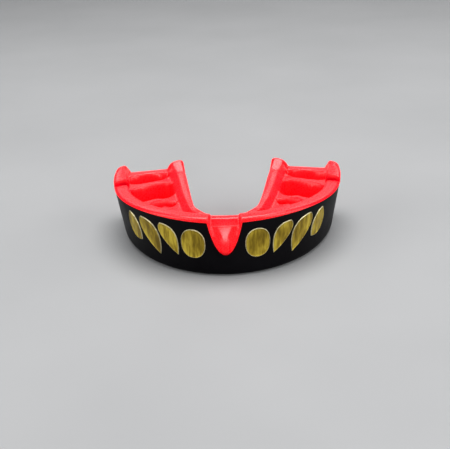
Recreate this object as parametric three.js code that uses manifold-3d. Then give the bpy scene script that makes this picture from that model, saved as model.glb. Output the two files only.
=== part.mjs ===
// Boil-and-bite sports mouthguard for the upper teeth, as a two-layer moulding.
// A firm outer shell forms the front wall and the base. A softer fitting liner sits in it, laps over
// its top edge and fills the V notch at the centre of the shell's front wall. Eight fang-shaped
// inlays, four to a side, sit in shallow pockets in the front of the shell.
//
// Millimetres, +Z up. The wearer's front is -Y and the two arms run back towards +Y. The drawing
// below puts y = 0 at the front of the rim. The finished group is then moved so that its origin is
// the centre of the bottom of its box.
import * as THREE from "three";
import { mergeVertices } from "three/addons/utils/BufferGeometryUtils.js";
import Module from "manifold-3d";

const wasm = await Module();
wasm.setup();

// ---- Driving dimensions -------------------------------------------------------------------------

const GAP = 0.3; // between touching pieces
// Plan outlines. The rim is half an ellipse, carried on past its widest point to endY. The tongue side
// is a rounded bend with straight arms that spread by splay for each millimetre back.
const RIM = { halfWidth: 32.4, depth: 38, endY: 43 };
const TONGUE = { halfWidth: 7.8, splay: 0.162, bend: 7, power: 3, frontY: 13.8, endY: 47 };

const FRONT_HEIGHT = 16.7; // top of the rim at the front
const REAR_HEIGHT = 14.8; // top of the rim where the outer posts begin
const LIP = { front: 1.4, rear: 0.45 }; // height of the liner's band above the shell
const RIM_THICKNESS = 4.1;
const OUTER_LEAN = { front: 1.5, side: 2.4 }; // how far the base is set in from the rim
const INNER_LEAN = 1; // the same on the tongue side

const SHELL_WALL = 1.5;
const SHELL_BASE = 1.6;
const SHELL_INNER_LIP = 4.5; // height of the shell's low wall on the tongue side
const SHELL_INNER_WALL = 1.3;
const BASE_RADIUS = 1.4;

const RIDGE = { middle: 11.4, bend: 13.1, rear: 14.7 }; // heights of the wall on the tongue side
const CREST = { front: 1.7, rear: 2.2, post: 3.8 }; // thickness of that wall at its top
const FLANK = { run: 2.5, drop: 4.6 }; // the slope from its top into the channel
const CHANNEL_FLOOR = 4.5;
const FRONT_FLOOR = 8.6; // the channel is shallower in front of the first fins
const FIN_HEIGHT = 13; // top of the cross fins in the channel
const FINS = [
  { place: 0.395, thickness: 5 },
  { place: 0.56, thickness: 2.4 },
  { place: 0.825, thickness: 2.3 },
]; // each place is a share of the way along the arm
const END_WALL = 3; // the wall that closes the channel at each rear end
const END_WALL_HEIGHT = 13.8;

const POST_HEIGHT = 16.9;
const POST_START = 0.77; // shares of the way along each arm
const STEP_START = 0.8;
const POST_STEP = 0.9; // at STEP_START the outer post steps up from the rim by this much
const POST_TIP = 0.955;
const INNER_POST_START = 0.84;

const DIP = { halfWidth: 4, height: 16, backY: 6 }; // the dip in the rim at the centre
const SCOOP = { halfWidth: 3.8, height: 14, backY: 1 }; // and the step in front of it
// The centre tab at falling heights: its half width, and the half width and reach of the ridge
// down its middle, measured forwards from the shell's face.
const TAB = [
  { z: 16.3, half: 4.65, ridge: 1.8, reach: -0.9 },
  { z: 14, half: 4.2, ridge: 1.65, reach: -0.9 },
  { z: 12, half: 3.7, ridge: 0.9, reach: 0.15 },
  { z: 10, half: 3.05, ridge: 0.6, reach: 1 },
  { z: 8, half: 2.2, ridge: 0.7, reach: 1.3 },
  { z: 7, half: 1.5, ridge: 0.6, reach: 0.8 },
  { z: 6.4, half: 0.75, ridge: 0.4, reach: 0.4 },
  { z: 6.2, half: 0.4, ridge: 0.25, reach: 0.3 },
];
const TAB_EDGE = 0.15; // how far the tab's edges stand in front of the shell's face
const TAB_BACK = 3.4;

const FANG_DEPTH = 0.5; // how far a fang's back sits below the shell's face
const FANG_PROUD = 0.3;
// Right-hand fangs on the unrolled front wall: [distance round the rim from the centre, height].
// The first is an oval. The others are leaf shapes made of two cubic curves, one up the outer side
// from the tip to the top and one down the inner side.
const OVAL_FANG = { centre: [8.5, 9.2], radii: [3.35, 4.1], lean: 0.02 };
const LEAF_FANGS = [
  {
    tip: [12.95, 5.3],
    outer: [[15.7, 7], [20.7, 11.4]],
    top: [18.1, 13.6],
    inner: [[14.3, 13.8], [11.9, 11.5]],
  },
  {
    tip: [19.1, 4.1],
    outer: [[22.4, 5.7], [28.5, 10.8]],
    top: [25.4, 13.6],
    inner: [[20.7, 13.8], [17.2, 10.8]],
  },
  {
    tip: [26.6, 6.1],
    outer: [[31.2, 4.4], [34.1, 9.5]],
    top: [31.1, 13.3],
    inner: [[28.2, 13.2], [25.8, 9.8]],
  },
];

const STATIONS = 30; // evenly spaced sections along one arm
const SHARP = 0.0012; // half the width of a sharp change along the arm, as a share of its length
const OUTLINE_SAMPLES = 60;

// ---- The arch -----------------------------------------------------------------------------------

const clamp01 = (value) => Math.min(1, Math.max(0, value));
const mix = (from, to, share) => from + (to - from) * share;
const smooth = (value) => clamp01(value) ** 2 * (3 - 2 * clamp01(value));

// The right-hand half of each plan outline, as a curve that can be walked by arc length.
function rimOutline({ halfWidth, depth, endY }) {
  const endAngle = Math.PI / 2 + Math.asin(endY / depth - 1);
  const points = [];
  for (let i = 0; i <= OUTLINE_SAMPLES; i++) {
    const angle = (endAngle * i) / OUTLINE_SAMPLES;
    points.push(new THREE.Vector2(halfWidth * Math.sin(angle), depth * (1 - Math.cos(angle))));
  }
  return new THREE.SplineCurve(points);
}
function tongueOutline({ halfWidth, splay, bend, power, frontY, endY }) {
  const points = [];
  const add = (back, share) => {
    points.push(new THREE.Vector2((halfWidth + splay * back) * share, frontY + back));
  };
  for (let i = 0; i <= OUTLINE_SAMPLES; i++) {
    const angle = (Math.PI / 2) * (i / OUTLINE_SAMPLES);
    add(bend * (1 - Math.cos(angle) ** (2 / power)), Math.sin(angle) ** (2 / power));
  }
  for (let i = 1; i <= OUTLINE_SAMPLES; i++) add(mix(bend, endY - frontY, i / OUTLINE_SAMPLES), 1);
  return new THREE.SplineCurve(points);
}
const rimCurve = rimOutline(RIM);
const tongueCurve = tongueOutline(TONGUE);
const RIM_LENGTH = rimCurve.getLength();
const ARM_LENGTH = (RIM_LENGTH + tongueCurve.getLength()) / 2;

// The section at one place along the arch. place runs from -1 at the left end, through 0 at the
// front, to 1 at the right end. across is the unit vector from the rim towards the tongue side.
function sectionAt(place) {
  const mirror = new THREE.Vector2(Math.sign(place) || 1, 1);
  const rim = rimCurve.getPointAt(Math.abs(place)).multiply(mirror);
  const tongue = tongueCurve.getPointAt(Math.abs(place)).multiply(mirror);
  const across = tongue.sub(rim);
  const width = across.length();
  return { place, rim, across: across.normalize(), width };
}

const rimLine = (place) => mix(FRONT_HEIGHT, REAR_HEIGHT, smooth(Math.abs(place) / POST_START) ** 1.6);
const shellTop = (place) => rimLine(place) - mix(LIP.front, LIP.rear, smooth(Math.abs(place) / 0.65));
const baseLean = (place) => mix(OUTER_LEAN.front, OUTER_LEAN.side, smooth(Math.abs(place) / 0.7));
const outerLean = (place, z) => baseLean(place) * (1 - clamp01(z / shellTop(place)));

// Past its tip a post falls away to the arm's end.
const postFall = (at) => mix(POST_HEIGHT, END_WALL_HEIGHT + 1.2, ((at - POST_TIP) / (1 - POST_TIP)) ** 2);

// Top of the rim. The outer post is a step, a slope up to its tip and a fall to the end.
function rimTop(place) {
  const at = Math.abs(place);
  if (at > POST_TIP) return postFall(at);
  if (at < STEP_START) return rimLine(place);
  return mix(REAR_HEIGHT + POST_STEP, POST_HEIGHT, smooth((at - POST_START) / (POST_TIP - POST_START)));
}

// Top of the tongue-side wall, which rises from the front and runs up into the inner post.
function ridgeTop(place) {
  const at = Math.abs(place);
  if (at > POST_TIP) return postFall(at);
  const fore = mix(RIDGE.middle, RIDGE.bend, smooth(at / 0.22));
  const wall = fore + (RIDGE.rear - RIDGE.bend) * smooth((at - 0.4) / 0.45);
  return mix(wall, POST_HEIGHT, smooth((at - INNER_POST_START) / (POST_TIP - INNER_POST_START)));
}

// Height that the channel is filled to: its floor, a cross fin or the end wall.
function channelFill(place) {
  const distance = (from) => Math.abs(Math.abs(place) - from) * ARM_LENGTH;
  const limit = Math.min(ridgeTop(place), rimTop(place)) - 1.4;
  if (distance(1) < END_WALL) return Math.min(END_WALL_HEIGHT, limit);
  const onFin = FINS.some((fin) => distance(fin.place) < fin.thickness / 2);
  if (onFin) return Math.min(FIN_HEIGHT, limit);
  return Math.abs(place) < FINS[0].place ? FRONT_FLOOR : CHANNEL_FLOOR;
}

// ---- Solids -------------------------------------------------------------------------------------

function solidOf(geometry) {
  const bare = geometry.index ? geometry.toNonIndexed() : geometry.clone();
  bare.deleteAttribute("normal");
  bare.deleteAttribute("uv");
  const merged = mergeVertices(bare, 1e-4);
  const mesh = new wasm.Mesh({
    numProp: 3,
    vertProperties: merged.attributes.position.array,
    triVerts: new Uint32Array(merged.index.array),
  });
  return new wasm.Manifold(mesh);
}

function geometryOf(solid) {
  const mesh = solid.getMesh();
  const geometry = new THREE.BufferGeometry();
  geometry.setAttribute("position", new THREE.BufferAttribute(mesh.vertProperties, 3));
  geometry.setIndex(new THREE.BufferAttribute(mesh.triVerts, 1));
  geometry.computeVertexNormals();
  return geometry;
}

// Skins a stack of closed rings, each a list of [x, y, z], and caps both ends. A cap joins the ring
// in the way that its flat drawing, a list of [u, v], is cut into triangles.
function skin(rings, firstFlat, lastFlat) {
  const count = rings[0].length;
  const index = [];
  for (let ring = 0; ring + 1 < rings.length; ring++) {
    for (let i = 0; i < count; i++) {
      const here = ring * count + i;
      const next = ring * count + ((i + 1) % count);
      index.push(here, next, here + count, next, next + count, here + count);
    }
  }
  const cap = (flat, start, reversed) => {
    const corners = flat.map(([u, v]) => new THREE.Vector2(u, v));
    for (const face of THREE.ShapeUtils.triangulateShape(corners, [])) {
      if (reversed) face.reverse();
      index.push(...face.map((corner) => corner + start));
    }
  };
  cap(firstFlat, 0, true);
  cap(lastFlat, (rings.length - 1) * count, false);
  const geometry = new THREE.BufferGeometry();
  geometry.setAttribute("position", new THREE.Float32BufferAttribute(rings.flat(2), 3));
  geometry.setIndex(index);
  return solidOf(geometry);
}

// A solid along the arch. loopAt gives each section as [w, z] points, w millimetres in from the rim.
function loft(places, loopAt) {
  const rings = places.map((place) => {
    const section = sectionAt(place);
    return loopAt(section).map(([w, z]) => {
      const spot = section.rim.clone().addScaledVector(section.across, w);
      return [spot.x, spot.y, z];
    });
  });
  return skin(rings, loopAt(sectionAt(places[0])), loopAt(sectionAt(places.at(-1))));
}

// Places to cut sections: even ones, and a close pair at each sharp change along the arm.
function placesAlong(changes) {
  const right = [];
  for (let i = 1; i <= STATIONS; i++) right.push(i / STATIONS);
  for (const change of changes) right.push(change - SHARP, change + SHARP);
  const clear = right.filter((place) => changes.every((change) => Math.abs(place - change) > SHARP * 0.9));
  clear.sort((a, b) => a - b);
  return [...clear.map((place) => -place).reverse(), 0, ...clear];
}

function block(low, high) {
  const size = high.map((value, axis) => value - low[axis]);
  const box = new THREE.BoxGeometry(...size);
  box.translate(...low.map((value, axis) => value + size[axis] / 2));
  return solidOf(box);
}

// ---- Outer shell --------------------------------------------------------------------------------

function shellLoop({ place, width }) {
  const top = shellTop(place);
  const inner = (z) => width - INNER_LEAN * (1 - z / ridgeTop(place));
  const corner = BASE_RADIUS * 0.3; // where the rounded corner's middle point sits
  return [
    [baseLean(place) + BASE_RADIUS, 0],
    [inner(0) - BASE_RADIUS, 0],
    [inner(0) - corner, corner],
    [inner(BASE_RADIUS), BASE_RADIUS],
    [inner(SHELL_INNER_LIP), SHELL_INNER_LIP],
    [inner(SHELL_INNER_LIP) - SHELL_INNER_WALL, SHELL_INNER_LIP],
    [inner(SHELL_BASE) - SHELL_INNER_WALL, SHELL_BASE],
    [outerLean(place, SHELL_BASE) + SHELL_WALL, SHELL_BASE],
    [SHELL_WALL, top],
    [0, top],
    [outerLean(place, BASE_RADIUS), BASE_RADIUS],
    [baseLean(place) + corner, corner],
  ];
}

// ---- Fitting liner ------------------------------------------------------------------------------

function linerLoop({ place, width }) {
  const rim = rimTop(place);
  const ridge = ridgeTop(place);
  const seat = shellTop(place) + GAP;
  const bottom = SHELL_BASE + GAP;
  const step = SHELL_INNER_LIP + GAP;
  const inner = (z) => width - INNER_LEAN * (1 - z / ridge);
  const wall = mix(CREST.front, CREST.rear, smooth(Math.abs(place)));
  const crest = width - mix(wall, CREST.post, smooth((Math.abs(place) - 0.86) / 0.09));
  const foot = crest - FLANK.run;
  const fill = channelFill(place);
  const channel = [
    [crest, ridge - 0.9],
    [foot, ridge - FLANK.drop],
    [foot - 0.5, CHANNEL_FLOOR + 1.4],
    [foot - 1.5, CHANNEL_FLOOR],
    [RIM_THICKNESS + 1.9, CHANNEL_FLOOR],
    [RIM_THICKNESS + 0.8, CHANNEL_FLOOR + 1.4],
    [RIM_THICKNESS, rim - 1.4],
  ].map(([w, z]) => [w, Math.max(z, fill)]);
  return [
    [outerLean(place, bottom) + SHELL_WALL + GAP, bottom],
    [inner(bottom) - SHELL_INNER_WALL - GAP, bottom],
    [inner(step) - SHELL_INNER_WALL - GAP, step],
    [inner(step), step],
    [width, ridge - 1.1],
    [width - 0.4, ridge - 0.3],
    [(width + crest) / 2, ridge],
    [crest + 0.4, ridge - 0.25],
    ...channel,
    [RIM_THICKNESS - 0.4, rim - 0.4],
    [RIM_THICKNESS - 1.4, rim],
    [0.5, rim],
    [0, rim - (rim - seat) * 0.4],
    [0, seat],
    [SHELL_WALL + GAP, seat],
  ];
}

// ---- Centre tab ---------------------------------------------------------------------------------

// The tab, skinned upwards from its tip, or the larger plug that cuts its notch in the shell.
function tabSolid(margin) {
  const levels = [...TAB].reverse();
  const plans = levels.map(({ z, half, ridge, reach }) => {
    const face = outerLean(0, z) - TAB_EDGE - margin * 8;
    const nose = outerLean(0, z) - reach - margin * 8;
    return [
      [-half - margin, TAB_BACK + margin],
      [-half - margin, face],
      [-ridge, nose],
      [ridge, nose],
      [half + margin, face],
      [half + margin, TAB_BACK + margin],
    ];
  });
  const heights = levels.map(({ z }, i) => (i === 0 ? z - margin : z));
  if (margin > 0) heights[heights.length - 1] += 5;
  const rings = plans.map((plan, i) => plan.map(([x, y]) => [x, y, heights[i]]));
  return skin(rings, plans[0], plans.at(-1));
}

// ---- Fangs --------------------------------------------------------------------------------------

const ovalShape = () => {
  const { centre, radii, lean } = OVAL_FANG;
  return new THREE.Shape().absellipse(...centre, ...radii, 0, Math.PI * 2, false, lean);
};
const leafShape = ({ tip, outer, top, inner }) =>
  new THREE.Shape()
    .moveTo(...tip)
    .bezierCurveTo(...outer[0], ...outer[1], ...top)
    .bezierCurveTo(...inner[0], ...inner[1], ...tip);

// Moves every point of a closed anticlockwise outline outwards by margin.
function grow(points, margin) {
  const count = points.length;
  return points.map((point, i) => {
    const before = point.clone().sub(points[(i + count - 1) % count]).normalize();
    const after = points[(i + 1) % count].clone().sub(point).normalize();
    const along = before.clone().add(after).normalize();
    const reach = margin / Math.max(0.5, along.dot(after));
    return point.clone().add(new THREE.Vector2(along.y, -along.x).multiplyScalar(reach));
  });
}

// A fang's outline as a straight bar through the wall, square to the wall at the fang's middle.
function fangBar(outline, side, margin) {
  const points = margin > 0 ? grow(outline, margin) : outline;
  const middle = new THREE.Box2().setFromPoints(outline).getCenter(new THREE.Vector2()).x;
  const share = middle / RIM_LENGTH;
  const rim = rimCurve.getPointAt(share);
  const tangent = rimCurve.getTangentAt(share);
  const flat = points.map(({ x, y }) => new THREE.Vector2((x - middle) * side, y));
  const bar = new THREE.ExtrudeGeometry(new THREE.Shape(flat), { depth: 8, bevelEnabled: false });
  const along = new THREE.Vector3(tangent.x, tangent.y * side, 0);
  const up = new THREE.Vector3(0, 0, 1);
  const outwards = along.clone().cross(up);
  bar.translate(0, 0, -4);
  bar.applyMatrix4(new THREE.Matrix4().makeBasis(along, up, outwards).setPosition(rim.x * side, rim.y, 0));
  return solidOf(bar);
}

// A layer that follows the shell's front face, from depth below it to proud above it.
function faceLayer(depth, proud) {
  return loft(placesAlong([]), ({ place }) => {
    const top = shellTop(place);
    const low = outerLean(place, BASE_RADIUS);
    return [[low - proud, BASE_RADIUS], [low + depth, BASE_RADIUS], [depth, top], [-proud, top]];
  });
}

// ---- Assembly -----------------------------------------------------------------------------------

const coat = {
  shell: new THREE.MeshStandardMaterial({ color: 0x17151a, roughness: 0.5, metalness: 0 }),
  liner: new THREE.MeshStandardMaterial({ color: 0xe0101c, roughness: 0.42, metalness: 0 }),
  fang: new THREE.MeshStandardMaterial({ color: 0xa8973c, roughness: 0.45, metalness: 0.7 }),
};

const steps = [
  ...FINS.flatMap((fin) => [-0.5, 0.5].map((edge) => fin.place + (edge * fin.thickness) / ARM_LENGTH)),
  1 - END_WALL / ARM_LENGTH,
  STEP_START,
];
const cutAbove = ({ halfWidth, height, backY }) => block([-halfWidth, -4, height], [halfWidth, backY, 20]);

let shell = loft(placesAlong([]), shellLoop).subtract(tabSolid(GAP));
const wholeLiner = loft(placesAlong(steps), linerLoop).add(tabSolid(0));
const liner = wholeLiner.subtract(cutAbove(DIP)).subtract(cutAbove(SCOOP));

const pocketLayer = faceLayer(FANG_DEPTH + GAP, 3);
const fangLayer = faceLayer(FANG_DEPTH, FANG_PROUD);
const shapes = [ovalShape(), ...LEAF_FANGS.map(leafShape)];
const fangs = [];
for (const [sideName, side] of [["left", -1], ["right", 1]]) {
  shapes.forEach((shape, i) => {
    const outline = shape.getPoints(12).slice(0, -1);
    shell = shell.subtract(fangBar(outline, side, GAP).intersect(pocketLayer));
    fangs.push([`fang_${sideName}_${i + 1}`, fangBar(outline, side, 0).intersect(fangLayer)]);
  });
}

const group = new THREE.Group();
group.name = "mouthguard";
const parts = [["outer_shell", shell, coat.shell], ["fit_liner", liner, coat.liner]];
for (const [name, solid] of fangs) parts.push([name, solid, coat.fang]);
for (const [name, solid, material] of parts) {
  const mesh = new THREE.Mesh(geometryOf(solid), material);
  mesh.name = name;
  group.add(mesh);
}
const centre = new THREE.Box3().setFromObject(group).getCenter(new THREE.Vector3());
for (const mesh of group.children) mesh.geometry.translate(-centre.x, -centre.y, 0);

export default group;
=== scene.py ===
"""Looks for a two-layer sports mouthguard: red fitting liner, near-black shell, gold fang inlays.

The drawing is in millimetres with y = 0 at the front of the rim, as the CAD is, and is moved into
the row's frame when each mesh is made.
"""
import math

import bpy
import numpy as np
from mathutils import Matrix, Vector


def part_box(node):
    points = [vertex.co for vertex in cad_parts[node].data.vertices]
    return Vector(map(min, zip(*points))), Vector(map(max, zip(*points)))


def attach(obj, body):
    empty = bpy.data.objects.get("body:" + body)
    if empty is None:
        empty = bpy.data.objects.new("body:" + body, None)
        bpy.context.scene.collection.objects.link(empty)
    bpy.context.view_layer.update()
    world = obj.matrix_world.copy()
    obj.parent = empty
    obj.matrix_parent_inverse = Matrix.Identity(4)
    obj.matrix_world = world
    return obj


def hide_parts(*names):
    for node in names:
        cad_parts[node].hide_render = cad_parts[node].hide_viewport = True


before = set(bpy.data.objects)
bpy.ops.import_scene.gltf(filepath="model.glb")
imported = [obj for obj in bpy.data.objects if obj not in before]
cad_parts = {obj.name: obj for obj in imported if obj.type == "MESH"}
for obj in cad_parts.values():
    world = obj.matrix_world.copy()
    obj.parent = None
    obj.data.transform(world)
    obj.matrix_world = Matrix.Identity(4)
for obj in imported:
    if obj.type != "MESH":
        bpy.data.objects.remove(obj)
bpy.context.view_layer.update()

# ---- Dimensions, in millimetres -----------------------------------------------------------------

# A "place" is a share of the way along the arch: 0 at the middle, 1 at the right end, -1 at the left.

RIM = dict(half_width=32.4, depth=38.0, end_y=43.0)
TONGUE = dict(half_width=7.8, splay=0.162, bend=7.0, power=3.0, front_y=13.8, end_y=47.0)

FRONT_HEIGHT = 16.7
REAR_HEIGHT = 14.8
RIM_FALL_POWER = 1.6  # a higher one keeps the rim high for longer
LIP_HEIGHTS = (1.4, 0.45)  # the liner's band above the shell, at the front and at the rear
LIP_REAR_PLACE = 0.65  # where the band has its rear height
RIM_THICKNESS = 4.1
OUTER_LEAN = (1.5, 2.4)  # at the front and at the sides
SIDE_PLACE = 0.7  # where the lean is that of the sides
INNER_LEAN = 1.0  # how far the tongue side's foot stands in from its ridge

SHELL_WALL = 1.5
SHELL_BASE = 1.6
SHELL_INNER_LIP = 4.5  # height of the low wall on the tongue side
SHELL_INNER_WALL = 1.3  # and its thickness
SHELL_INSET = 0.08  # the top of the shell's face is this far behind the liner's rim
SEAM = 0.06  # what shows of the join between shell and liner
LINER_GAP = 0.3  # the hidden gap between them

RIDGE_HEIGHTS = (11.4, 13.1, 14.7)  # at the middle, at the bends and at the rear
RIDGE_BEND_PLACE = 0.22  # where the ridge has its height at the bends
RIDGE_REAR_RISE = (0.4, 0.45)  # the place where it starts to rise to the rear, and over how much
CREST = (1.7, 2.2)  # thickness of the ridge's top at the front and at the rear
FLANK_RUN = 2.5  # how far the ridge's flank leans out into the channel
SHOULDER_DROP = 2.1  # how far below the ridge's top the flank turns steeply to the floor
CHANNEL_FLOOR = 4.5
FRONT_FLOOR = 8.6  # the channel is shallower in front of the first fins
FIN_HEIGHT = 13.0
FIN_BELOW = (1.0, 2.0)  # a fin is at least this far below the top of the rim and of the ridge
FINS = ((0.395, 5.0, 1.7), (0.56, 2.4, 1.0), (0.825, 2.3, 1.0))  # place, thickness and share of flare
FIN_SKEW = 0.035  # a fin's inner end is this much further back than its outer end
FIN_FLARE = 1.92  # a fin gets this much wider on each side where it meets a wall
FLARE_REACH = (2.2, 1.8)  # how quickly the flare dies away from the rim and from the ridge
RIDGE_FOOT = 2.6  # how far in from its crest the ridge's flank ends
WALL_RAMP = 1.3  # a fin or an end wall rises from the floor over this distance
WALL_LEAD = 0.6  # and starts to rise this far outside its thickness
CHANNEL_FILLET = 0.6
END_WALL = 3.0
END_WALL_FLARE = 0.7  # its share of the flare
END_WALL_HEIGHT = 13.8
END_RADIUS = 0.45

# The posts. Each START and TIP is a place.
POST_HEIGHT = 16.9
POST_START = 0.77
POST_TIP = 0.955
POST_SLOPE_POWER = 1.3
INNER_POST_START = 0.84
INNER_POST_SLOPE_POWER = 1.5
POST_THICKENS = (0.86, 0.09)  # the place where the walls start to thicken, and over how much
END_DROP = 1.5  # past their tips, the posts come down to this far above the end wall
STEP_START = 0.8
POST_STEP = 0.95
STEP_SLANT = 0.8  # the step starts this much further back on the channel side of the rim
STEP_RUN = 0.24
CREASE_DEPTH = 1.7
CREASE_AHEAD = 0.6  # the crease's deepest line is this far in front of the step
CREASE_WIDTH = 0.55
PAINTED_SHADE_AHEAD = 0.22  # and the shade painted into the crease is darkest this far in front of it
PAINTED_SHADE_WIDTH = 0.42

TAB_TIP_Z = 6.2
TAB_EDGE = (0.36, 0.005)  # the V outline's rise with the square and the fourth power of x
TAB_END = 4.95  # half the width of what is shaped as tab
DIP_HALF_WIDTH = 4.2
DIP_DEPTH = 0.7
DIP_RAMP = 0.4  # the rim reaches the dip's depth over this distance
SCOOP_RAMP = 0.6  # and its front edge moves back to the scoop over this one
SCOOP_BACK = 1.0  # how far the scoop above the nose is set in from the rim's front
SCOOP_Z = 14.0
NOSE_REACH = 1.3
NOSE_HALF_WIDTHS = (0.6, 1.65)  # low on the nose and at its T-shaped top

# An edge is shaded sharp where its faces turn by more than this, in degrees.
LINER_SHARP_ANGLE = 100
SHELL_SHARP_ANGLE = 50
FANG_SHARP_ANGLE = 75

MM = 0.001
# The row's y, in millimetres, of the drawing's y = 0.
front_in_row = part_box("fit_liner")[1][1] / MM - TONGUE["end_y"]


def clamp01(value):
    return np.clip(value, 0.0, 1.0)


def smooth(value):
    value = clamp01(value)
    return value * value * (3 - 2 * value)


def mix(start, end, share):
    return start + (end - start) * share


def soft_max(a, b, radius):
    return 0.5 * (a + b + np.sqrt((a - b) ** 2 + radius**2))


def soft_min(a, b, radius):
    return 0.5 * (a + b - np.sqrt((a - b) ** 2 + radius**2))


# ---- The arch -----------------------------------------------------------------------------------


class PlanCurve:
    """The right-hand half of a plan outline, walked by arc length."""

    def __init__(self, x, y):
        self.x = x
        self.y = y
        steps = np.hypot(np.diff(x), np.diff(y))
        self.walked = np.concatenate([[0], np.cumsum(steps)])
        self.length = self.walked[-1]

    def at(self, place):
        """The points at these shares of the length. A negative share is on the left."""
        walked = np.abs(place) * self.length
        x = np.interp(walked, self.walked, self.x) * np.where(place < 0, -1, 1)
        return np.stack([x, np.interp(walked, self.walked, self.y)], axis=-1)

    def normal(self, place):
        """The outward normals, away from the arch's middle."""
        step = 0.002
        run = self.at(np.minimum(place + step, 1)) - self.at(np.maximum(place - step, -1))
        run /= np.linalg.norm(run, axis=-1, keepdims=True)
        return np.stack([run[..., 1], -run[..., 0]], axis=-1)


def rim_outline(half_width, depth, end_y):
    """A quarter of an ellipse, carried on past its widest point."""
    angle = np.linspace(0, math.pi / 2 + math.asin(end_y / depth - 1), 6001)
    return PlanCurve(half_width * np.sin(angle), depth * (1 - np.cos(angle)))


def tongue_outline(half_width, splay, bend, power, front_y, end_y):
    """A rounded bend, then a straight arm that spreads by splay for each millimetre back."""
    angle = np.linspace(0, math.pi / 2, 3001)
    back = bend * (1 - np.maximum(np.cos(angle), 0) ** (2 / power))
    straight = np.linspace(bend, end_y - front_y, 3001)[1:]
    share = np.concatenate([np.sin(angle) ** (2 / power), np.ones(len(straight))])
    back = np.concatenate([back, straight])
    return PlanCurve((half_width + splay * back) * share, front_y + back)


rim_curve = rim_outline(**RIM)
tongue_curve = tongue_outline(**TONGUE)
ARM_LENGTH = (rim_curve.length + tongue_curve.length) / 2


def rim_line(place):
    """Top of the rim without the dip and the posts."""
    fallen = smooth(np.abs(place) / POST_START) ** RIM_FALL_POWER
    return mix(FRONT_HEIGHT, REAR_HEIGHT, fallen)


def shell_top(place):
    return rim_line(place) - mix(*LIP_HEIGHTS, smooth(np.abs(place) / LIP_REAR_PLACE))


def base_lean(place):
    """How far in from the rim's outline the front wall's foot stands."""
    return mix(*OUTER_LEAN, smooth(np.abs(place) / SIDE_PLACE))


def outer_lean(place, z):
    """The same for the front wall at the height z, up to its top edge."""
    return base_lean(place) * (1 - clamp01(z / shell_top(place)))


def post_fall(place):
    """How high the posts may be: their full height up to their tips, and less past them."""
    past = clamp01((np.abs(place) - POST_TIP) / (1 - POST_TIP))
    return mix(POST_HEIGHT, END_WALL_HEIGHT + END_DROP, past**2)


def rim_top(place):
    """Top of the rim, with the outer post's slope and tip but not its first step."""
    slope = clamp01((np.abs(place) - POST_START) / (POST_TIP - POST_START)) ** POST_SLOPE_POWER
    post = rim_line(place) + (POST_HEIGHT - REAR_HEIGHT - POST_STEP) * slope
    # In front of the post the fall is raised clear of the rim, so that it changes nothing there.
    clear = 3.0 * smooth((POST_START - np.abs(place)) / 0.1)
    fall = post_fall(place) - POST_STEP + 0.1 + clear
    return soft_min(post, fall, 0.7)


def ridge_top(place):
    """Top of the tongue-side wall, which runs up into the inner post."""
    at = np.abs(place)
    middle, bend, rear = RIDGE_HEIGHTS
    start, run = RIDGE_REAR_RISE
    wall = mix(middle, bend, smooth(at / RIDGE_BEND_PLACE)) + (rear - bend) * smooth((at - start) / run)
    slope = clamp01((at - INNER_POST_START) / (POST_TIP - INNER_POST_START))
    post = mix(wall, POST_HEIGHT + 0.5, slope**INNER_POST_SLOPE_POWER)
    return soft_min(post, post_fall(place) + 0.3, 1.0)


def tab_edge(x):
    """Height of the V outline of the centre tab at this distance from the middle."""
    square, fourth = TAB_EDGE
    return TAB_TIP_Z + square * x**2 + fourth * x**4


def tab_half_width(z):
    """The same outline the other way round."""
    square, fourth = TAB_EDGE
    above = np.maximum(z - TAB_TIP_Z, 0)
    return np.sqrt((np.sqrt(square**2 + 4 * fourth * above) - square) / (2 * fourth))


def channel_floor(place):
    """The channel's floor, which steps down under the first fin."""
    first_fin = FINS[0][0]
    half_step = 0.02
    return mix(FRONT_FLOOR, CHANNEL_FLOOR, smooth((np.abs(place) - first_fin + half_step) / 0.04))


def stations():
    """Places along the arch, closer together where the surface changes quickly."""
    millimetre = 1 / ARM_LENGTH
    fine, finest, closest = 0.2, 0.12, 0.07  # spacings in millimetres
    dense = [(0.0, 6.2 / rim_curve.length, 0.16)]  # the centre tab: [from, to, spacing]
    for fin, thickness, wide in FINS:
        reach = (thickness / 2 + FIN_FLARE * wide + 1.1) * millimetre
        dense.append((fin - reach, fin + reach, fine))
    wall = 1 - END_WALL * millimetre
    dense.append((wall - 3.0 * millimetre, wall + 1.1 * millimetre, fine))
    dense.append((STEP_START - 1.5 * millimetre, STEP_START + millimetre, finest))
    dense.append((1 - millimetre, 1.0, finest))
    places = list(np.linspace(0, 1, 90))
    for start, end, spacing in dense:
        count = int((end - start) * ARM_LENGTH / spacing) + 1
        places += list(np.linspace(max(start, 0), min(end, 1), count))
    places = np.unique(np.round(places, 5))
    keep = [0]
    for i in range(1, len(places)):
        if (places[i] - places[keep[-1]]) * ARM_LENGTH > closest:
            keep.append(i)
    right = places[keep]
    right[-1] = 1.0
    return np.concatenate([-right[:0:-1], right])


# ---- Lofted meshes ------------------------------------------------------------------------------


def across_arch(place):
    """The rim's points at the stations, and how far the tongue side is from each."""
    rim = rim_curve.at(place)
    return rim, np.linalg.norm(tongue_curve.at(place) - rim, axis=-1)


def stack_corners(corners):
    """One array, stations by corners by 2, from a list of (w, z) pairs of arrays."""
    return np.stack([np.stack(corner, axis=-1) for corner in corners], axis=1)


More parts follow.
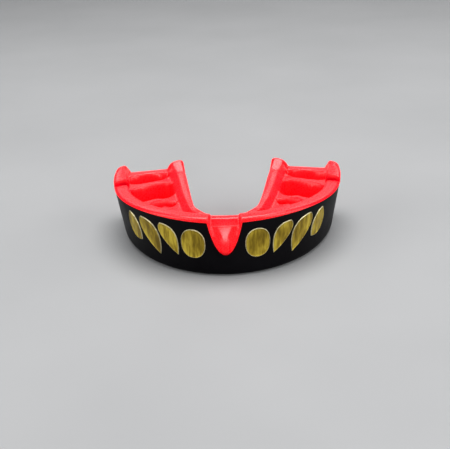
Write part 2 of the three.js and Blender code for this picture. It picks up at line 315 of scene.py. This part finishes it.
def rounded_loops(corners, radii, bends, runs):
    """Closed loops with rounded corners.

    corners is stations by corners by 2. Corner k is rounded over radii[k] with bends[k] steps, and
    the straight run after it is cut into runs[k] steps.
    """
    before = np.roll(corners, 1, axis=1) - corners
    after = np.roll(corners, -1, axis=1) - corners
    long_before = np.linalg.norm(before, axis=-1, keepdims=True)
    long_after = np.linalg.norm(after, axis=-1, keepdims=True)
    reach = np.stack([np.broadcast_to(radius, len(corners)) for radius in radii], axis=1)[..., None]
    start = corners + before / long_before * np.minimum(reach, long_before * 0.48)
    end = corners + after / long_after * np.minimum(reach, long_after * 0.48)
    columns = []
    for k in range(corners.shape[1]):
        for t in np.linspace(0, 1, bends[k] + 1):
            point = (1 - t) ** 2 * start[:, k] + 2 * t * (1 - t) * corners[:, k] + t**2 * end[:, k]
            columns.append(point)
        following = start[:, (k + 1) % corners.shape[1]]
        for t in np.linspace(0, 1, runs[k] + 1)[1:-1]:
            columns.append(mix(end[:, k], following, t))
    return np.stack(columns, axis=1)


def round_ends(loops, place, width):
    """Draws the loops in towards their middles close to each end, so the end's edge is round."""
    left = (1 - np.abs(place)) * ARM_LENGTH
    short = np.maximum(END_RADIUS - left, 0)
    inset = END_RADIUS - np.sqrt(np.maximum(END_RADIUS**2 - short**2, 0))
    middle = np.stack([width / 2, np.full_like(width, END_WALL_HEIGHT / 2)], axis=-1)
    inward = middle[:, None, :] - loops
    inward /= np.linalg.norm(inward, axis=-1, keepdims=True)
    return loops + inward * inset[:, None, None]


def loft_mesh(name, place, loops, sharp_angle):
    """One closed mesh from [w, z] loops at the stations, w being in from the rim."""
    rim = rim_curve.at(place)
    across = tongue_curve.at(place) - rim
    across /= np.linalg.norm(across, axis=-1, keepdims=True)
    plan = rim[:, None, :] + across[:, None, :] * loops[..., :1]
    points = np.concatenate([plan, loops[..., 1:]], axis=-1)
    rings, count = points.shape[:2]
    faces = []
    for ring in range(rings - 1):
        low = ring * count
        for i in range(count):
            following = (i + 1) % count
            faces.append((low + i, low + following, low + count + following, low + count + i))
    faces.append(tuple(range(count))[::-1])
    faces.append(tuple(range((rings - 1) * count, rings * count)))
    obj = make_object(name, points.reshape(-1, 3), faces, sharp_angle)
    for cap in obj.data.polygons[-2:]:
        cap.use_smooth = False
    return obj


def make_object(name, points_mm, faces, sharp_angle):
    points = np.asarray(points_mm, dtype=float).copy()
    points[:, 1] += front_in_row
    mesh = bpy.data.meshes.new(name)
    mesh.from_pydata((points * MM).tolist(), [], faces)
    mesh.validate()
    mesh.shade_smooth()
    mesh.set_sharp_from_angle(angle=math.radians(sharp_angle))
    obj = bpy.data.objects.new(name, mesh)
    bpy.context.scene.collection.objects.link(obj)
    return obj


# ---- Outer shell --------------------------------------------------------------------------------


def shell_loops(place):
    """The shell's loops: a C-shaped section with its open side up."""
    rim, width = across_arch(place)
    top = np.minimum(shell_top(place), tab_edge(rim[:, 0]) - SEAM)

    def inner(z):
        return width - INNER_LEAN * (1 - z / ridge_top(place))

    flat = np.ones_like(place)
    corners = [
        (base_lean(place), 0 * flat),
        (inner(0), 0 * flat),
        (inner(SHELL_INNER_LIP), SHELL_INNER_LIP * flat),
        (inner(SHELL_INNER_LIP) - SHELL_INNER_WALL, SHELL_INNER_LIP * flat),
        (inner(SHELL_BASE) - SHELL_INNER_WALL, SHELL_BASE * flat),
        (outer_lean(place, SHELL_BASE) + SHELL_WALL, SHELL_BASE * flat),
        (outer_lean(place, top) + SHELL_WALL, top),
        (outer_lean(place, top) + SHELL_INSET, top),
    ]
    radii = (1.9, 1.5, 0.35, 0.35, 0.3, 0.3, 0.15, 0.3)
    bends = (8, 6, 4, 3, 2, 2, 2, 4)
    runs = (10, 6, 2, 4, 8, 8, 2, 22)
    loops = rounded_loops(stack_corners(corners), radii, bends, runs)
    return round_ends(loops, place, width)


# ---- Fitting liner ------------------------------------------------------------------------------


def tab_depth(x, z):
    """How far the tab's front lies behind the shell's face at (x, z); negative stands out."""
    half = tab_half_width(z)
    x = np.abs(x)
    # The field round the nose: a little proud of the shell at its edge, and set in above.
    scoop = mix(-0.05, SCOOP_BACK, smooth((z - SCOOP_Z + 4.6) / 5))
    depth = mix(-0.15, scoop, smooth((half - x) / 1.2))
    # The nose's front line: from the scoop's back out to its reach, and in again at the tip.
    fall = clamp01((SCOOP_Z - z) / 5.0)
    crest = mix(SCOOP_BACK, -NOSE_REACH, 1 - (1 - fall) ** 1.3)
    crest = mix(-0.25, crest, smooth((z - TAB_TIP_Z + 0.1) / 1.8))
    # From half the nose's width outwards, its flank falls to the field.
    crest_half = mix(*NOSE_HALF_WIDTHS, smooth((z - SCOOP_Z + 3.0) / 3.0))
    crest_half = np.minimum(crest_half, half * 0.6)
    flank_width = np.minimum(1.1, np.maximum(half - crest_half, 0.3))
    flank = smooth((x - crest_half) / flank_width)
    return mix(crest, depth, flank) * smooth((TAB_END - x) / 0.5)


# The liner's corners between which its loops are reshaped, by their number in the section.
CREST_CORNER = 5
RIM_BACK_CORNER = 9
RIM_FRONT_CORNER = 10
FACE_TOP_CORNER = 11
SEAT_CORNER = 12


def liner_loops(place):
    """The liner's loops, and how strongly shade is painted into the crease at each of their points."""
    rim, width = across_arch(place)
    x = rim[:, 0]
    top = rim_top(place) - DIP_DEPTH * smooth((DIP_HALF_WIDTH - np.abs(x)) / DIP_RAMP)
    scoop = smooth((DIP_HALF_WIDTH - np.abs(x)) / SCOOP_RAMP)
    seat = np.minimum(shell_top(place), tab_edge(x))
    ridge = ridge_top(place)
    thickens_at, thickens_over = POST_THICKENS
    post = smooth((np.abs(place) - thickens_at) / thickens_over)
    crest = width - mix(*CREST, smooth(np.abs(place))) - 1.1 * post
    foot = crest - FLANK_RUN * (1 - 0.3 * post)
    floor = channel_floor(place)
    bottom = SHELL_BASE + LINER_GAP
    step = SHELL_INNER_LIP + SEAM

    def inner(z):
        return width - INNER_LEAN * (1 - z / ridge)

    flat = np.ones_like(place)
    corners = [
        # The bottom, and the step over the shell's low wall on the tongue side.
        (outer_lean(place, bottom) + SHELL_WALL + LINER_GAP, bottom * flat),
        (inner(bottom) - SHELL_INNER_WALL - LINER_GAP, bottom * flat),
        (inner(step) - SHELL_INNER_WALL - LINER_GAP, step * flat),
        (inner(step), step * flat),
        # The ridge, and down its flank to the channel's floor.
        (width, ridge),
        (crest, ridge - 0.3),
        (foot, np.maximum(ridge - SHOULDER_DROP, floor + 0.4)),
        (foot - 0.9, floor),
        # The channel's front wall and the rim's two edges.
        (RIM_THICKNESS + 1.2 * flat, floor),
        (RIM_THICKNESS - 1.3 * post, top),
        (0.55 + 1.65 * scoop + 0.65 * post, top),
        # The front face, down to its seat on the shell.
        (SCOOP_BACK * scoop, mix(top - 0.5 - 0.3 * post, SCOOP_Z, scoop)),
        (outer_lean(place, seat), seat),
        (outer_lean(place, seat) + SHELL_WALL + LINER_GAP, seat),
    ]
    corners = stack_corners(corners)
    ridge_radii = (1.2 + 0.6 * post, 1.1 + 0.7 * post, 1.3)
    rim_radii = (1.6 - 0.9 * scoop, 0.5 + 0.8 * post, 0.4 + 0.3 * post)
    radii = (0.3, 0.3, 0.2, 0.15, *ridge_radii, 2.0, 2.4, *rim_radii, 0.2, 0.15)
    bends = (2, 2, 2, 2, 8, 7, 5, 7, 8, 8, 5, 5, 4, 2)
    runs = (6, 2, 2, 8, 2, 9, 8, 6, 18, 4, 2, 28, 3, 4)
    loops = rounded_loops(corners, radii, bends, runs)

    # first[k] is the column where corner k's bend starts.
    first = np.concatenate([[0], np.cumsum(np.add(bends, runs))])
    channel = slice(first[CREST_CORNER] + 4, first[RIM_FRONT_CORNER])
    rim_columns = slice(first[RIM_BACK_CORNER] - 8, first[SEAT_CORNER])
    face_top = first[FACE_TOP_CORNER] + bends[FACE_TOP_CORNER]
    face_run = slice(face_top, first[SEAT_CORNER] + 1)
    face = slice(first[FACE_TOP_CORNER], first[SEAT_CORNER] + bends[SEAT_CORNER] + 1)

    # Painted shade: how dark the crease in front of each outer post's step is painted.
    painted_shade = np.zeros(loops.shape[:2])
    painted_shade[:, rim_columns] = lift_post(loops[:, rim_columns], place, top, seat)
    straighten(loops[:, face_run])
    raise_fins(loops[:, channel], place, crest, ridge, top, floor)
    shape_tab(loops[:, face], place, x, seat, corners[:, FACE_TOP_CORNER], corners[:, SEAT_CORNER])
    return round_ends(loops, place, width), painted_shade


def straighten(columns):
    """Spreads the columns evenly between the first and the last, which stay."""
    share = np.linspace(0, 1, columns.shape[1])[None, :, None]
    columns[:] = mix(columns[:, :1], columns[:, -1:], share)


def shape_tab(face, place, x, seat, high, low):
    """Gives the front face the centre tab's scoop and nose, in place of its straight line."""
    z = face[..., 1]
    share = clamp01((z - low[:, 1:]) / np.maximum(high[:, 1:] - low[:, 1:], 0.1))
    straight = mix(low[:, :1], high[:, :1], share)
    wanted = outer_lean(place[:, None], z) + tab_depth(x[:, None], z)
    across = smooth((TAB_END + 0.25 - np.abs(x)) / 0.3)[:, None]
    up = smooth((z - seat[:, None]) / 0.25) * (1 - smooth((z - SCOOP_Z + 0.3) / 0.3))
    face[..., 0] += (wanted - straight) * across * up


def hump(value, middle, width):
    """1 at the middle, and falling away on both sides of it."""
    return np.exp(-(((value - middle) / width) ** 2))


def lift_post(columns, place, top, seat):
    """Raises the rim by the outer post's first step, with a crease in front of the step and shade
    painted into it.

    The columns are changed in place. What comes back is how strongly shade is painted into the crease
    at each point.
    """
    w = columns[..., 0]
    start = STEP_START + (w / RIM_THICKNESS - 0.5) * STEP_SLANT / ARM_LENGTH
    past = (np.abs(place)[:, None] - start) * ARM_LENGTH
    risen = smooth(past / STEP_RUN + 0.5)
    crease = hump(past, -CREASE_AHEAD, CREASE_WIDTH)
    high = smooth((columns[..., 1] - top[:, None] + 2.5) / 1.6)
    lifted = columns[..., 1] + (POST_STEP * risen - CREASE_DEPTH * crease) * high

    # The crease stays above the shell's top edge, and may go deeper behind the shell's wall.
    past_shell = smooth((w - SHELL_WALL - LINER_GAP) / 0.6)
    lowest = np.minimum(columns[..., 1], seat[:, None] + 0.12 - 2.0 * past_shell)
    columns[..., 1] = np.maximum(lifted, lowest)
    # The painted shade is darkest a little in front of the step, where the crease's shadow falls.
    return hump(past, -PAINTED_SHADE_AHEAD, PAINTED_SHADE_WIDTH) * high


def raise_fins(channel, place, crest, ridge, top, floor):
    """Lifts the channel's surface into cross fins and end walls that flare where they meet a wall."""
    w = channel[..., 0]
    from_rim = np.maximum(w - RIM_THICKNESS - 0.3, 0)
    from_ridge = np.maximum(crest[:, None] - RIDGE_FOOT - w, 0)
    rim_reach, ridge_reach = FLARE_REACH
    flare = FIN_FLARE * (np.exp(-from_rim / rim_reach) + np.exp(-from_ridge / ridge_reach))
    hidden = floor[:, None] - 1.0
    across = clamp01(from_rim / np.maximum(from_rim + from_ridge, 0.1))
    below_rim, below_ridge = FIN_BELOW
    limit = mix(top[:, None] - below_rim, ridge[:, None] - below_ridge, smooth(across))
    height = np.minimum(FIN_HEIGHT, limit)
    for fin, thickness, wide in FINS:
        away = np.abs(np.abs(place)[:, None] - fin - FIN_SKEW * (across - 0.5)) * ARM_LENGTH
        near = smooth((thickness / 2 + flare * wide + WALL_LEAD - away) / WALL_RAMP)
        channel[..., 1] = soft_max(channel[..., 1], mix(hidden, height, near), CHANNEL_FILLET)
    from_end = (1 - np.abs(place))[:, None] * ARM_LENGTH
    near = smooth((END_WALL + END_WALL_FLARE * flare + WALL_LEAD - from_end) / WALL_RAMP)
    height = np.minimum(END_WALL_HEIGHT, limit + 0.6)
    channel[..., 1] = soft_max(channel[..., 1], mix(hidden, height, near), CHANNEL_FILLET)


# ---- Fangs --------------------------------------------------------------------------------------

# Outlines on the unrolled front wall: [distance round the rim from the middle, height].
OVAL = dict(centre=(8.5, 9.2), radii=(3.35, 4.1), lean=0.02, power=2.25)
# A leaf's tip, two control points of its outer side, its top, and two of its inner side.
LEAVES = (
    ((12.95, 5.3), (15.7, 7.0), (20.7, 11.4), (18.1, 13.6), (14.3, 13.8), (11.9, 11.5)),
    ((19.1, 4.1), (22.4, 5.7), (28.5, 10.8), (25.4, 13.6), (20.7, 13.8), (17.2, 10.8)),
    ((26.6, 6.1), (31.2, 4.4), (34.1, 9.5), (31.1, 13.3), (28.2, 13.2), (25.8, 9.8)),
)
# A fang's surface from its edge inwards: [distance in from the outline, height above the wall].
FANG_PROFILE = ((0.0, 0.01), (0.03, 0.16), (0.08, 0.23), (0.15, 0.24), (0.22, 0.2), (0.27, 0.17))
FANG_CROWN = (0.06, 0.065)  # its rise from the last of those, over its inner rings and at its middle
FANG_BACK = 0.01  # its hidden back lies this far in front of the wall
BEAD_RINGS = 4  # the rings, from the edge inwards, that get the paler material painted as the raised edge's highlight


def oval_outline(count=96):
    """A slightly squared oval that leans."""
    angle = np.linspace(0, 2 * math.pi, count, endpoint=False)
    power = 2 / OVAL["power"]
    x = OVAL["radii"][0] * np.sign(np.cos(angle)) * np.abs(np.cos(angle)) ** power
    y = OVAL["radii"][1] * np.sign(np.sin(angle)) * np.abs(np.sin(angle)) ** power
    cos, sin = math.cos(OVAL["lean"]), math.sin(OVAL["lean"])
    turned = np.stack([x * cos - y * sin, x * sin + y * cos], axis=-1)
    return turned + OVAL["centre"]


def leaf_outline(leaf, count=48):
    """Two curves: up the outer side from the tip to the top, and down the inner side."""
    tip, outer1, outer2, top, inner1, inner2 = (np.array(point) for point in leaf)
    t = np.linspace(0, 1, count, endpoint=False)[:, None]

    def cubic(a, b, c, d):
        return (1 - t) ** 3 * a + 3 * t * (1 - t) ** 2 * b + 3 * t**2 * (1 - t) * c + t**3 * d

    return np.concatenate([cubic(tip, outer1, outer2, top), cubic(top, inner1, inner2, tip)])


def on_wall(s, z, height):
    """Points at s round the rim and z up, standing height out from the shell's front face."""
    place = s / rim_curve.length
    rim = rim_curve.at(place)
    across = tongue_curve.at(place) - rim
    across /= np.linalg.norm(across, axis=-1, keepdims=True)
    plan = rim + across * (outer_lean(place, z) + SHELL_INSET)[..., None]
    plan = plan + rim_curve.normal(place) * np.asarray(height)[..., None]
    return np.concatenate([plan, z[..., None]], axis=-1)


def fang(name, outline, side):
    """A closed inlay on the front wall, the first vertex of its bead, and how many a ring has."""
    count = len(outline)
    middle = outline.mean(axis=0)
    along = np.roll(outline, -1, axis=0) - np.roll(outline, 1, axis=0)
    along /= np.linalg.norm(along, axis=-1, keepdims=True)
    inward = np.stack([-along[:, 1], along[:, 0]], axis=-1)
    clear = np.maximum(np.sum((middle - outline) * inward, axis=-1), 0.4)[:, None]
    rings = []  # each a [s, z] outline and its height above the wall
    for inset, height in FANG_PROFILE:
        rings.append((outline + (middle - outline) * np.minimum(inset / clear, 0.5), height))
    last = rings[-1][0]
    inner_height = FANG_PROFILE[-1][1]
    crown, peak = FANG_CROWN
    for share in (0.12, 0.3, 0.5, 0.7, 0.88):
        rings.append((mix(last, middle, share), inner_height + crown * share))

    def placed(ring, height):
        return on_wall(ring[:, 0] * side, ring[:, 1], np.full(len(ring), height))

    front = [placed(ring, height) for ring, height in rings]
    back = [placed(mix(outline, middle, share), FANG_BACK) for share in (0.3, 0.7)]
    ends = [placed(middle[None], inner_height + peak), placed(middle[None], FANG_BACK)]
    stack = back[::-1] + front
    vertices = np.concatenate(stack + ends)
    faces = []
    for ring in range(len(stack) - 1):
        for i in range(count):
            following = (i + 1) % count
            low = ring * count
            faces.append((low + i, low + following, low + count + following, low + count + i))
    top_ring = (len(stack) - 1) * count
    for i in range(count):
        following = (i + 1) % count
        faces.append((top_ring + i, top_ring + following, len(vertices) - 2))
        faces.append((following, i, len(vertices) - 1))
    if side < 0:
        faces = [face[::-1] for face in faces]
    obj = make_object(name, vertices, faces, FANG_SHARP_ANGLE)
    return obj, len(back) * count, count


# ---- Materials ----------------------------------------------------------------------------------


class Nodes:
    """A short way to write a node material."""

    def __init__(self, name):
        self.material = bpy.data.materials.new(name)
        self.material.use_nodes = True
        self.tree = self.material.node_tree
        self.shader = self.tree.nodes["Principled BSDF"]
        self.place = self.add("ShaderNodeTexCoord").outputs["Object"]

    def add(self, kind, inputs=None, **settings):
        """A new node, with its inputs set or linked."""
        node = self.tree.nodes.new(kind)
        for key, value in settings.items():
            setattr(node, key, value)
        for key, value in (inputs or {}).items():
            if isinstance(value, bpy.types.NodeSocket):
                self.tree.links.new(value, node.inputs[key])
            else:
                node.inputs[key].default_value = value
        return node

    def noise(self, scale, detail, stretch=(1, 1, 1), roughness=0.5):
        """Noise with this many features to a metre; a small stretch draws it out along an axis."""
        mapped = self.add("ShaderNodeMapping", {"Vector": self.place, "Scale": stretch})
        inputs = {"Vector": mapped.outputs["Vector"], "Scale": scale}
        inputs.update({"Detail": detail, "Roughness": roughness})
        return self.add("ShaderNodeTexNoise", inputs).outputs["Fac"]

    def ramp(self, value, stops):
        """A colour from the value, by [position, colour] stops."""
        node = self.add("ShaderNodeValToRGB", {"Fac": value})
        ramp = node.color_ramp
        while len(ramp.elements) < len(stops):
            ramp.elements.new(0.5)
        for element, (position, color) in zip(ramp.elements, stops):
            element.position = position
            element.color = (*color, 1)
        return node.outputs["Color"]

    def span(self, value, low, high, start=0.3, end=0.7):
        """Low to high as the value goes from start to end."""
        inputs = {"Value": value, "From Min": start, "From Max": end, "To Min": low, "To Max": high}
        return self.add("ShaderNodeMapRange", inputs).outputs["Result"]

    def bump(self, height, strength, distance, normal=None):
        inputs = {"Height": height, "Strength": strength, "Distance": distance}
        if normal is not None:
            inputs["Normal"] = normal
        return self.add("ShaderNodeBump", inputs).outputs["Normal"]

    def set(self, **values):
        """Sets or links the shader's inputs, with _ for a space in their names."""
        for key, value in values.items():
            socket = self.shader.inputs[key.replace("_", " ")]
            if isinstance(value, bpy.types.NodeSocket):
                self.tree.links.new(value, socket)
            else:
                socket.default_value = value


def liner_material():
    """Soft red fitting gel: satin, a little translucent, with a faint grain, and shade painted dark red
    into the crease in front of each outer post's step.
    """
    nodes = Nodes("liner red")
    # Painted shade: the dark red laid into the crease in front of each outer post's step.
    crease_shade_red = (0.25, 0.0, 0.004, 1)
    cloud = nodes.noise(160, 3)
    color = nodes.ramp(cloud, ((0.3, (0.86, 0.002, 0.006)), (0.7, (0.93, 0.003, 0.009))))
    painted_shade = nodes.add("ShaderNodeAttribute", attribute_name="crease_painted_shade").outputs["Fac"]
    inputs = {"Fac": painted_shade, "Color1": color, "Color2": crease_shade_red}
    color = nodes.add("ShaderNodeMixRGB", inputs).outputs["Color"]
    grain = nodes.noise(2600, 2)
    waves = nodes.noise(240, 2)
    normal = nodes.bump(waves, 0.06, 0.0003)
    normal = nodes.bump(grain, 0.03, 0.00004, normal)
    nodes.set(Base_Color=color, Roughness=nodes.span(grain, 0.25, 0.31), Normal=normal)
    nodes.set(Subsurface_Weight=0.3, Subsurface_Radius=(1.0, 0.12, 0.08), Subsurface_Scale=0.0006)
    # The painted shade in the crease also turns the specular down there.
    nodes.set(IOR=1.36, Specular_IOR_Level=nodes.span(painted_shade, 0.5, 0.0, 0, 0.8))
    return nodes.material


def shell_material():
    """Near-black satin moulded elastomer."""
    nodes = Nodes("shell black")
    cloud = nodes.noise(120, 3)
    color = nodes.ramp(cloud, ((0.3, (0.001, 0.0008, 0.0012)), (0.7, (0.002, 0.0018, 0.0024))))
    grain = nodes.noise(3200, 2)
    waves = nodes.noise(190, 2)
    normal = nodes.bump(waves, 0.2, 0.0004)
    normal = nodes.bump(grain, 0.2, 0.00005, normal)
    nodes.set(Base_Color=color, Roughness=nodes.span(cloud, 0.4, 0.5), Normal=normal)
    nodes.set(IOR=1.12)
    return nodes.material


def fang_material():
    """Dull antique gold with upright streaks."""
    nodes = Nodes("fang gold")
    streaks = nodes.noise(1400, 3, (1, 1, 0.1), 0.65)
    patches = nodes.noise(420, 2, (1, 1, 0.35))
    product = nodes.add("ShaderNodeMath", {0: streaks, 1: patches}, operation="MULTIPLY")
    stops = ((0.14, (0.13, 0.083, 0.005)), (0.24, (0.28, 0.193, 0.014)), (0.36, (0.5, 0.375, 0.04)))
    color = nodes.ramp(product.outputs["Value"], stops)
    normal = nodes.bump(streaks, 0.35, 0.0001)
    nodes.set(Base_Color=color, Roughness=nodes.span(streaks, 0.36, 0.52), Normal=normal)
    nodes.set(Metallic=0.7, Specular_IOR_Level=0.3)
    return nodes.material


def fang_edge_highlight_material():
    """The paler line round each fang: a highlight on its raised edge, painted in a paler gold."""
    nodes = Nodes("fang edge highlight")
    cloud = nodes.noise(1500, 2)
    color = nodes.ramp(cloud, ((0.35, (0.33, 0.29, 0.15)), (0.65, (0.55, 0.5, 0.31))))
    nodes.set(Base_Color=color, Metallic=0.6, Roughness=0.36)
    return nodes.material


def floor_material():
    """Matt light grey."""
    nodes = Nodes("floor")
    cloud = nodes.noise(14, 3)
    color = nodes.ramp(cloud, ((0.3, (0.155, 0.157, 0.159)), (0.7, (0.17, 0.172, 0.174))))
    nodes.set(Base_Color=color, Roughness=0.8)
    return nodes.material


# ---- Pieces -------------------------------------------------------------------------------------

place = stations()

loops, painted_shade = liner_loops(place)
liner = loft_mesh("fitting_liner", place, loops, LINER_SHARP_ANGLE)
# The crease's painted shade, carried to the liner's material as a point attribute.
painted_shade_attribute = liner.data.attributes.new("crease_painted_shade", "FLOAT", "POINT")
painted_shade_attribute.data.foreach_set("value", painted_shade.ravel())
liner.data.materials.append(liner_material())
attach(liner, "root")
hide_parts("fit_liner")

shell = loft_mesh("front_shell", place, shell_loops(place), SHELL_SHARP_ANGLE)
shell.data.materials.append(shell_material())
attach(shell, "root")
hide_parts("outer_shell")

gold = fang_material()
edge_highlight_gold = fang_edge_highlight_material()
outlines = [oval_outline()] + [leaf_outline(leaf) for leaf in LEAVES]
for side_name, side in (("left", -1), ("right", 1)):
    for number, outline in enumerate(outlines, 1):
        tooth, first, count = fang(f"fang_inlay_{side_name}_{number}", outline, side)
        tooth.data.materials.append(gold)
        # The bead's rings take the paler gold, a highlight painted along the raised edge.
        tooth.data.materials.append(edge_highlight_gold)
        bead = range(first, first + BEAD_RINGS * count)
        for polygon in tooth.data.polygons:
            if all(vertex in bead for vertex in polygon.vertices):
                polygon.material_index = 1
        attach(tooth, "root")
        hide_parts(f"fang_{side_name}_{number}")

# ---- Floor, light and camera --------------------------------------------------------------------

FLOOR_HALF = 3.0  # in metres, as the lights' places and sizes are

floor_mesh = bpy.data.meshes.new("floor")
signs = ((-1, -1), (1, -1), (1, 1), (-1, 1))
floor_corners = [(FLOOR_HALF * x, FLOOR_HALF * y, 0) for x, y in signs]
floor_mesh.from_pydata(floor_corners, [], [(0, 1, 2, 3)])
floor = bpy.data.objects.new("floor", floor_mesh)
floor_mesh.materials.append(floor_material())
bpy.context.scene.collection.objects.link(floor)


def area_light(name, position, size, power):
    """A white disk, in metres and watts, that faces the origin."""
    data = bpy.data.lights.new(name, "AREA")
    data.shape = "DISK"
    data.size = size
    data.energy = power
    light = bpy.data.objects.new(name, data)
    light.location = position
    light.rotation_euler = (-Vector(position)).to_track_quat("-Z", "Y").to_euler()
    bpy.context.scene.collection.objects.link(light)


area_light("ceiling", (0.02, 0.06, 0.62), 0.6, 10.0)
area_light("window_left", (-0.5, -0.2, 0.22), 0.6, 3.3)
area_light("window_right", (0.5, -0.2, 0.22), 0.6, 4.2)
area_light("back", (0.0, 0.75, 0.32), 0.5, 0.3)
area_light("back_left", (-0.25, 0.62, 0.436), 0.26, 0.42)
area_light("back_right", (0.25, 0.62, 0.436), 0.26, 0.42)
area_light("front", (0.0, -0.6, 0.24), 0.16, 1.6)

world = bpy.data.worlds.new("studio")
world.use_nodes = True
background = world.node_tree.nodes["Background"].inputs
background["Color"].default_value = (0.9, 0.93, 1.0, 1)
background["Strength"].default_value = 0.13
bpy.context.scene.world = world
bpy.context.scene.view_settings.view_transform = "Standard"

# The camera's angles are in radians. AIM, which it looks at, is a point of the drawing.
YAW = -0.033
PITCH = 0.4084
ROLL = -0.0354
DISTANCE = 235.1
AIM = (-0.7, 25.0, 4.3)
LENS = 67.2
SENSOR_WIDTH = 36

ahead = math.cos(PITCH)
forward = Vector((math.sin(YAW) * ahead, math.cos(YAW) * ahead, -math.sin(PITCH)))
level = Vector((math.cos(YAW), -math.sin(YAW), 0))
upright = level.cross(forward)
right = level * math.cos(ROLL) + upright * math.sin(ROLL)
up = upright * math.cos(ROLL) - level * math.sin(ROLL)
eye = Vector((AIM[0], AIM[1] + front_in_row, AIM[2])) - forward * DISTANCE

camera_data = bpy.data.cameras.new("camera")
camera_data.sensor_width = SENSOR_WIDTH
camera_data.lens = LENS
camera_data.clip_start = 0.01
camera = bpy.data.objects.new("camera", camera_data)
rotation = Matrix((right, up, -forward)).transposed()
camera.matrix_world = Matrix.Translation(eye * MM) @ rotation.to_4x4()
bpy.context.scene.collection.objects.link(camera)
bpy.context.scene.camera = camera
